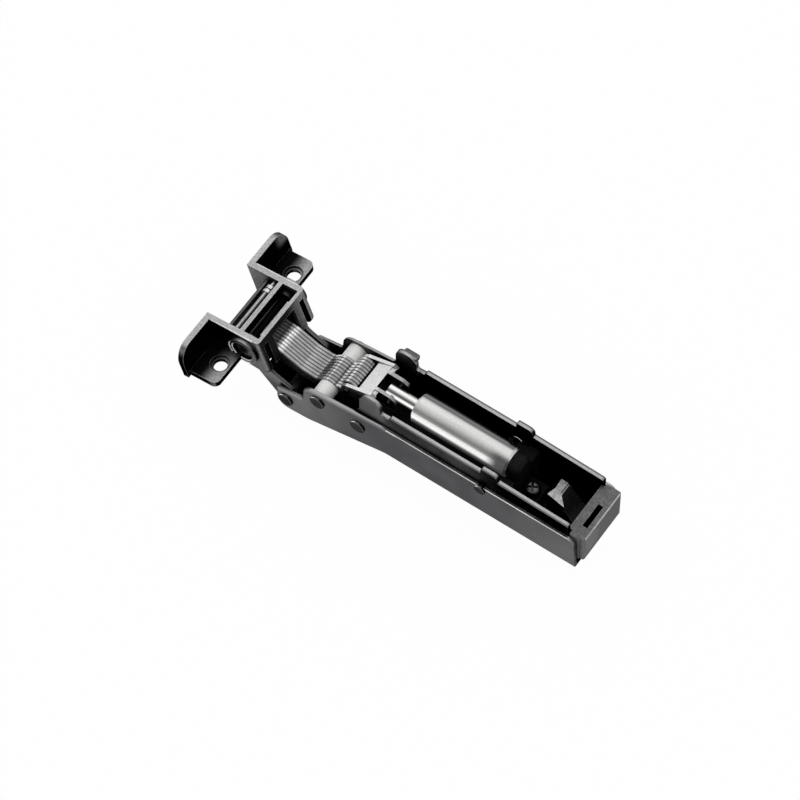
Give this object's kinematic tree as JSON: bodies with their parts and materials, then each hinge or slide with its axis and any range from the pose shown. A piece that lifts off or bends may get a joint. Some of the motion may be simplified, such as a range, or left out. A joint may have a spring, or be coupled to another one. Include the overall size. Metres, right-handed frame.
{
  "type": "soft-close cabinet hinge",
  "caption": "Soft-close cabinet door hinge shown open: channel arm with damper, laminated lever, side links and a winged door bracket with two screw holes.",
  "frame": {"origin": "middle of the arm's flat back face, midway across the arm", "axes": "+X along the arm from the door bracket towards the end cap, +Y across the arm, +Z out of the open channel"},
  "size_m": [0.1136, 0.0454, 0.0267],
  "materials": {
    "dark_nickel": "dark nickel plate, satin",
    "bright_nickel": "bright nickel plate, satin",
    "steel": "turned steel",
    "polished_steel": "polished",
    "black_plastic": "moulded",
    "black_rubber": "matt",
    "white_plastic": "moulded"
  },
  "bodies": {
    "arm": {"outer_channel": "dark_nickel", "inner_channel": "dark_nickel", "end_cap": "dark_nickel", "catch_wedge": "steel", "nose_rivet": "steel", "main_rivet": "steel", "channel_rivets": "steel", "damper_rivets": "steel", "damper_rings": "black_rubber", "damper_cylinder": "polished_steel", "damper_gland": "black_plastic", "damper_tail": "black_plastic", "damper_seat": "black_plastic", "screw_block": "steel", "adjusting_screw": "steel"},
    "lever": {"lever_plate_1": "bright_nickel", "lever_plate_2": "bright_nickel", "lever_plate_3": "bright_nickel", "lever_plate_4": "bright_nickel", "lever_plate_5": "bright_nickel", "lever_plate_6": "bright_nickel", "lever_plate_7": "bright_nickel", "lever_plate_8": "bright_nickel", "lever_plate_9": "bright_nickel", "bush_near": "white_plastic", "bush_far": "white_plastic", "tail_pin": "steel"},
    "bracket": {"bracket_housing": "dark_nickel", "link_pin": "steel", "lever_pin": "steel", "cross_pin": "steel", "second_bar": "steel", "pin_collars": "steel"},
    "outer_link": {"outer_link": "dark_nickel", "link_sleeve": "steel"},
    "yoke": {"yoke": "bright_nickel", "rod_pin": "steel"},
    "rod": {"piston_rod": "polished_steel", "piston": "black_plastic"}
  },
  "joints": [
    {"name": "door_fold", "type": "hinge", "parent": "lever", "child": "bracket", "pos_m": [-0.0665, 0, 0.0072], "axis": [0, 1, 0], "range_deg": [0, 76.8]},
    {"name": "lever_swing", "type": "hinge", "parent": "arm", "child": "lever", "pos_m": [-0.04755, 0, 0.00615], "axis": [0, 1, 0], "range_deg": [0, 19.2]},
    {"name": "link_swing", "type": "hinge", "parent": "arm", "child": "outer_link", "pos_m": [-0.0574, 0, -0.00205], "axis": [0, 1, 0], "range_deg": [0, 33.6]},
    {"name": "yoke_turn", "type": "hinge", "parent": "lever", "child": "yoke", "pos_m": [-0.0413, 0, 0.012], "axis": [0, -1, 0], "range_deg": [0, 31.8]},
    {"name": "rod_slide", "type": "slide", "parent": "arm", "child": "rod", "axis": [1, 0, 0], "range_m": [0, 0.00088]}
  ],
  "couplings": [
    {"joint": "lever_swing", "follows": "door_fold", "ratio": 0.25},
    {"joint": "link_swing", "follows": "door_fold", "ratio": 0.4375},
    {"joint": "yoke_turn", "follows": "door_fold", "ratio": 0.414},
    {"joint": "rod_slide", "follows": "door_fold", "m_per_rad": 0.00064905}
  ]
}
